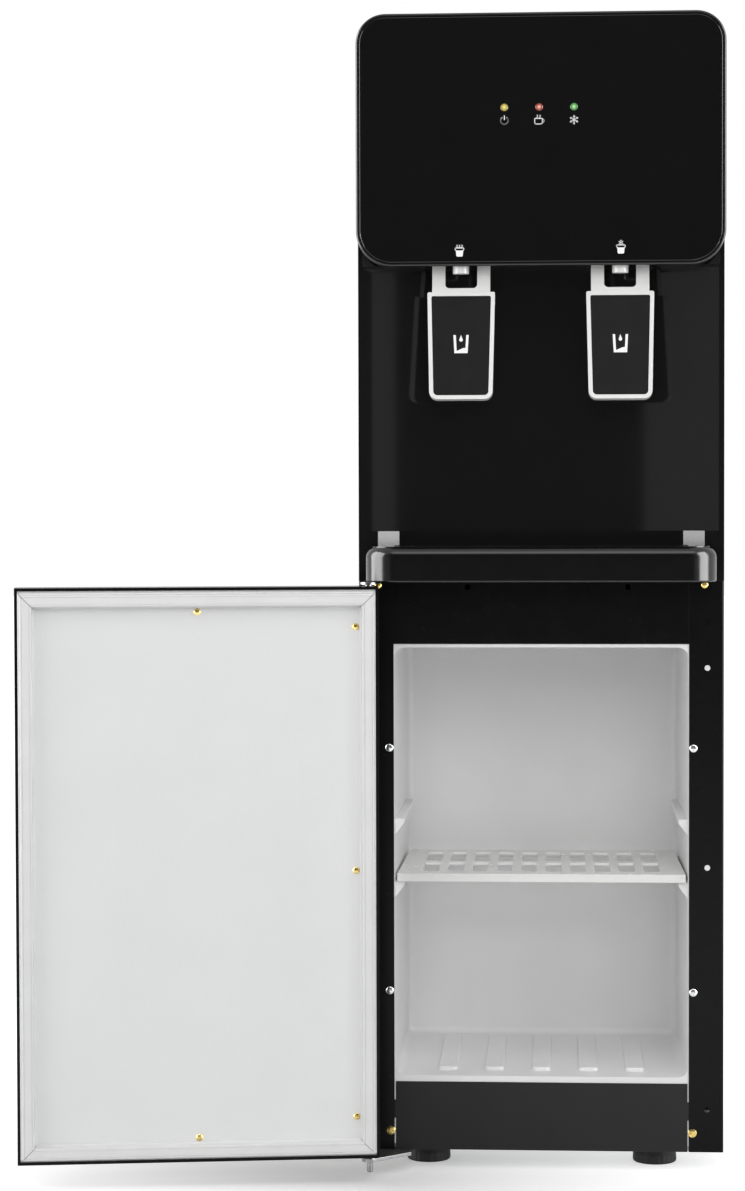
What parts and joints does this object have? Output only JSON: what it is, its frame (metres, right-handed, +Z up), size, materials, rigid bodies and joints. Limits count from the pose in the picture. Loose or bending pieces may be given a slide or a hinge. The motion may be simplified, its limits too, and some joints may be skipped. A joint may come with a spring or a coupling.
{
  "type": "bottom load water cooler",
  "caption": "Tall floor-standing hot and cold water cooler with push taps, a drip tray and a chilled storage cabinet behind a side-hung door.",
  "frame": {"origin": "on the floor, under the middle of the steel body, door and condenser not counted", "axes": "+Z up, front of the cooler towards -Y, +X to the right as seen from the front"},
  "size_m": [0.5927, 0.4458, 0.981],
  "materials": {
    "black_steel": "fine satin black powder coat",
    "kick_steel": "satin dark grey-black coat",
    "black_gloss": "high gloss black",
    "black_satin": "satin black moulding",
    "black_insert": "satin black with a pale pictogram",
    "white_liner": "satin white vacuum-formed sheet",
    "white_moulding": "glossy white moulding",
    "panel_white": "satin off-white sheet",
    "seal_white": "soft matt white seal",
    "foam": "rigid pale foam",
    "bead_foam": "moulded bead foam",
    "rubber_black": "matt black",
    "zinc": "bright zinc plate",
    "yellow_zinc": "yellow passivated zinc",
    "galvanised": "galvanised steel",
    "stainless": "brushed stainless",
    "aluminium": "rolled aluminium",
    "copper": "bright copper tube",
    "nylon": "natural nylon",
    "lens": "tinted clear lens",
    "board": "lacquered circuit board",
    "compressor_black": "black stove enamel",
    "condenser_black": "black dip coat",
    "silicone": "milky silicone",
    "heater": "heat-tinted steel band",
    "phenolic": "dark phenolic",
    "rocker_red": "red switch rocker",
    "rocker_green": "green switch rocker"
  },
  "bodies": {
    "cabinet": {"base_pan": "galvanised", "levelling_feet": "rubber_black", "foot_studs": "zinc", "side_panel_left": "black_steel", "side_panel_right": "black_steel", "rear_panel": "black_steel", "top_cover": "black_satin", "kick_panel": "kick_steel", "cross_panel": "black_steel", "dispense_panel": "black_gloss", "tray_ledge": "black_satin", "head_housing": "black_satin", "head_fascia": "black_gloss", "indicator_leds": "lens", "indicator_board": "board", "cabinet_liner": "white_liner", "cabinet_insulation": "foam", "cabinet_evaporator": "aluminium", "hole_plugs": "white_moulding", "liner_screws": "zinc", "panel_screws": "yellow_zinc", "hinge_plates": "zinc", "hinge_pins": "zinc", "tank_deck": "galvanised", "cold_tank": "stainless", "cold_tank_insulation": "bead_foam", "evaporator_coil": "copper", "hot_tank": "stainless", "heater_band": "heater", "thermostats": "phenolic", "water_tubes": "silicone", "faucet_bodies": "white_moulding", "compressor": "compressor_black", "compressor_mounts": "rubber_black", "refrigerant_lines": "copper", "condenser_tube": "condenser_black", "condenser_wires": "condenser_black", "condenser_brackets": "condenser_black", "inlet_fitting": "nylon", "mains_gland": "black_satin", "drain_spigots": "nylon", "drain_caps": "nylon", "switch_housings": "black_satin"},
    "door": {"door_outer_shell": "black_steel", "door_foam": "foam", "door_inner_panel": "panel_white", "door_gasket": "seal_white", "door_bushes": "nylon", "door_screws": "yellow_zinc"},
    "storage_shelf": {"shelf": "white_moulding"},
    "tray": {"drip_tray": "black_satin", "drip_grille": "black_satin"},
    "hot_paddle": {"hot_paddle_frame": "white_moulding", "hot_paddle_insert": "black_insert"},
    "cold_paddle": {"cold_paddle_frame": "white_moulding", "cold_paddle_insert": "black_insert"},
    "hot_stem": {"hot_valve_stem": "nylon"},
    "cold_stem": {"cold_valve_stem": "nylon"},
    "heating_switch": {"heating_rocker": "rocker_red"},
    "cooling_switch": {"cooling_rocker": "rocker_green"}
  },
  "joints": [
    {"name": "door_hinge", "type": "hinge", "parent": "cabinet", "child": "door", "pos_m": [-0.1447, -0.193, 0.0216], "axis": [0, 0, -1], "range_deg": [-171.6, 3.4]},
    {"name": "shelf_slide", "type": "slide", "parent": "cabinet", "child": "storage_shelf", "axis": [0, -1, 0], "range_m": [0, 0.15]},
    {"name": "tray_lift", "type": "slide", "parent": "cabinet", "child": "tray", "axis": [0, 0, 1], "range_m": [0, 0.03]},
    {"name": "hot_press", "type": "hinge", "parent": "cabinet", "child": "hot_paddle", "pos_m": [-0.067, -0.158, 0.8], "axis": [1, 0, 0], "range_deg": [0, 9], "stiffness_Nm_per_rad": 0.05, "springref_deg": -20.05},
    {"name": "cold_press", "type": "hinge", "parent": "cabinet", "child": "cold_paddle", "pos_m": [0.067, -0.158, 0.8], "axis": [1, 0, 0], "range_deg": [0, 9], "stiffness_Nm_per_rad": 0.05, "springref_deg": -20.05},
    {"name": "hot_stem_slide", "type": "slide", "parent": "cabinet", "child": "hot_stem", "axis": [0, 0, -1], "range_m": [0, 0.0026]},
    {"name": "cold_stem_slide", "type": "slide", "parent": "cabinet", "child": "cold_stem", "axis": [0, 0, -1], "range_m": [0, 0.0026]},
    {"name": "heating_rock", "type": "hinge", "parent": "cabinet", "child": "heating_switch", "pos_m": [0.08, 0.159, 0.88], "axis": [-1, 0, 0], "range_deg": [0, 14]},
    {"name": "cooling_rock", "type": "hinge", "parent": "cabinet", "child": "cooling_switch", "pos_m": [0.112, 0.159, 0.88], "axis": [-1, 0, 0], "range_deg": [0, 14]}
  ],
  "couplings": [
    {"joint": "hot_stem_slide", "follows": "hot_press", "m_per_rad": 0.016},
    {"joint": "cold_stem_slide", "follows": "cold_press", "m_per_rad": 0.016}
  ]
}
